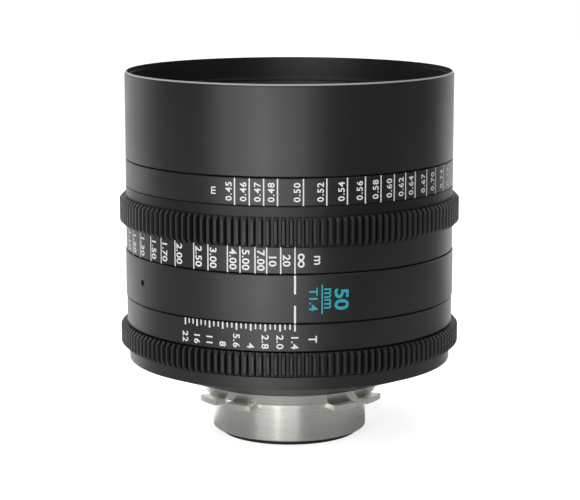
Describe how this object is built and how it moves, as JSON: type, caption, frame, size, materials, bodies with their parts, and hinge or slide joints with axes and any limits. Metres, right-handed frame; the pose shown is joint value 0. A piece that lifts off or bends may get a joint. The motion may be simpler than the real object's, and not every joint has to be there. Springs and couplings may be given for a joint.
{
  "type": "cinema prime lens",
  "caption": "Fast fixed focal length cinema lens with toothed focus and iris rings, two engraved distance scales, a bladed iris and a breech lock mount with locking lobes.",
  "frame": {"origin": "middle of the rear face, where the lens stands on its rear ring", "axes": "+Z along the optical axis from the mount to the front glass, -Y through the white index line, +X to the right when the index line faces the viewer"},
  "size_m": [0.1184, 0.1184, 0.1275],
  "materials": {
    "black_anodised": "satin black anodised",
    "flocked_black": "matte black",
    "stainless": "satin turned stainless steel",
    "dark_screws": "blackened steel",
    "bronze": "bearing bronze",
    "coated_glass": "polished and coated",
    "blade_steel": "blackened spring steel"
  },
  "bodies": {
    "housing": {"front_barrel": "black_anodised", "hood_liner": "flocked_black", "main_tube": "black_anodised", "index_barrel": "black_anodised", "index_set_screw_1": "dark_screws", "index_set_screw_2": "dark_screws", "rear_housing": "black_anodised", "mount_shim": "bronze", "mount_base": "stainless", "lens_mount": "stainless", "mount_screw_1": "dark_screws", "mount_screw_2": "dark_screws", "mount_screw_3": "dark_screws", "mount_screw_4": "dark_screws", "rear_ring": "flocked_black"},
    "focus_ring": {"focus_gear_ring": "black_anodised", "focus_scale_upper": "black_anodised", "focus_scale_lower": "black_anodised", "cam_sleeve": "bronze", "focus_drive_screw_1": "dark_screws", "focus_drive_screw_2": "dark_screws", "focus_drive_screw_3": "dark_screws", "focus_stop_pin": "dark_screws"},
    "carriage": {"carriage_tube": "black_anodised", "front_cell": "black_anodised", "front_bezel": "black_anodised", "second_retainer": "black_anodised", "pair_retainer": "black_anodised", "follower_pin_1": "dark_screws", "follower_pin_2": "dark_screws", "follower_roller_1": "bronze", "follower_roller_2": "bronze", "glass_front": "coated_glass", "glass_second": "coated_glass", "glass_third": "coated_glass", "glass_fourth": "coated_glass", "glass_fifth": "coated_glass", "glass_sixth": "coated_glass", "glass_seventh": "coated_glass", "glass_rear": "coated_glass", "iris_cage": "black_anodised", "iris_cap": "black_anodised", "rear_cell": "black_anodised", "rear_spacer": "black_anodised", "rear_retainer": "black_anodised", "inner_retainer": "black_anodised"},
    "iris_ring": {"iris_gear_ring": "black_anodised", "iris_scale_sleeve": "black_anodised", "iris_drive_bar": "dark_screws"},
    "iris_drive": {"iris_drive_ring": "bronze"},
    "blade_1": {"iris_blade_1": "blade_steel"},
    "blade_2": {"iris_blade_2": "blade_steel"},
    "blade_3": {"iris_blade_3": "blade_steel"},
    "blade_4": {"iris_blade_4": "blade_steel"},
    "blade_5": {"iris_blade_5": "blade_steel"},
    "blade_6": {"iris_blade_6": "blade_steel"},
    "blade_7": {"iris_blade_7": "blade_steel"},
    "blade_8": {"iris_blade_8": "blade_steel"},
    "blade_9": {"iris_blade_9": "blade_steel"}
  },
  "joints": [
    {"name": "focus_turn", "type": "hinge", "parent": "housing", "child": "focus_ring", "pos_m": [0, 0, 0.0817], "axis": [0, 0, 1], "range_deg": [0, 200]},
    {"name": "carriage_slide", "type": "slide", "parent": "housing", "child": "carriage", "axis": [0, 0, 1], "range_m": [0, 0.00625]},
    {"name": "iris_turn", "type": "hinge", "parent": "housing", "child": "iris_ring", "pos_m": [0, 0, 0.0408], "axis": [0, 0, 1], "range_deg": [0, 38.9]},
    {"name": "iris_drive_turn", "type": "hinge", "parent": "carriage", "child": "iris_drive", "pos_m": [0, 0, 0.05085], "axis": [0, 0, 1], "range_deg": [0, 38.9]},
    {"name": "blade_turn_1", "type": "hinge", "parent": "carriage", "child": "blade_1", "pos_m": [0.024, 0, 0.04725], "axis": [0, 0, 1], "range_deg": [0, 34]},
    {"name": "blade_turn_2", "type": "hinge", "parent": "carriage", "child": "blade_2", "pos_m": [0.01839, 0.01543, 0.04725], "axis": [0, 0, 1], "range_deg": [0, 34]},
    {"name": "blade_turn_3", "type": "hinge", "parent": "carriage", "child": "blade_3", "pos_m": [0.00417, 0.02364, 0.04725], "axis": [0, 0, 1], "range_deg": [0, 34]},
    {"name": "blade_turn_4", "type": "hinge", "parent": "carriage", "child": "blade_4", "pos_m": [-0.012, 0.02078, 0.04725], "axis": [0, 0, 1], "range_deg": [0, 34]},
    {"name": "blade_turn_5", "type": "hinge", "parent": "carriage", "child": "blade_5", "pos_m": [-0.02255, 0.00821, 0.04725], "axis": [0, 0, 1], "range_deg": [0, 34]},
    {"name": "blade_turn_6", "type": "hinge", "parent": "carriage", "child": "blade_6", "pos_m": [-0.02255, -0.00821, 0.04725], "axis": [0, 0, 1], "range_deg": [0, 34]},
    {"name": "blade_turn_7", "type": "hinge", "parent": "carriage", "child": "blade_7", "pos_m": [-0.012, -0.02078, 0.04725], "axis": [0, 0, 1], "range_deg": [0, 34]},
    {"name": "blade_turn_8", "type": "hinge", "parent": "carriage", "child": "blade_8", "pos_m": [0.00417, -0.02364, 0.04725], "axis": [0, 0, 1], "range_deg": [0, 34]},
    {"name": "blade_turn_9", "type": "hinge", "parent": "carriage", "child": "blade_9", "pos_m": [0.01839, -0.01543, 0.04725], "axis": [0, 0, 1], "range_deg": [0, 34]}
  ],
  "couplings": [
    {"joint": "carriage_slide", "follows": "focus_turn", "m_per_rad": 0.0017905},
    {"joint": "iris_drive_turn", "follows": "iris_turn", "ratio": 1},
    {"joint": "blade_turn_1", "follows": "iris_turn", "ratio": 0.87404},
    {"joint": "blade_turn_2", "follows": "iris_turn", "ratio": 0.87404},
    {"joint": "blade_turn_3", "follows": "iris_turn", "ratio": 0.87404},
    {"joint": "blade_turn_4", "follows": "iris_turn", "ratio": 0.87404},
    {"joint": "blade_turn_5", "follows": "iris_turn", "ratio": 0.87404},
    {"joint": "blade_turn_6", "follows": "iris_turn", "ratio": 0.87404},
    {"joint": "blade_turn_7", "follows": "iris_turn", "ratio": 0.87404},
    {"joint": "blade_turn_8", "follows": "iris_turn", "ratio": 0.87404},
    {"joint": "blade_turn_9", "follows": "iris_turn", "ratio": 0.87404}
  ]
}
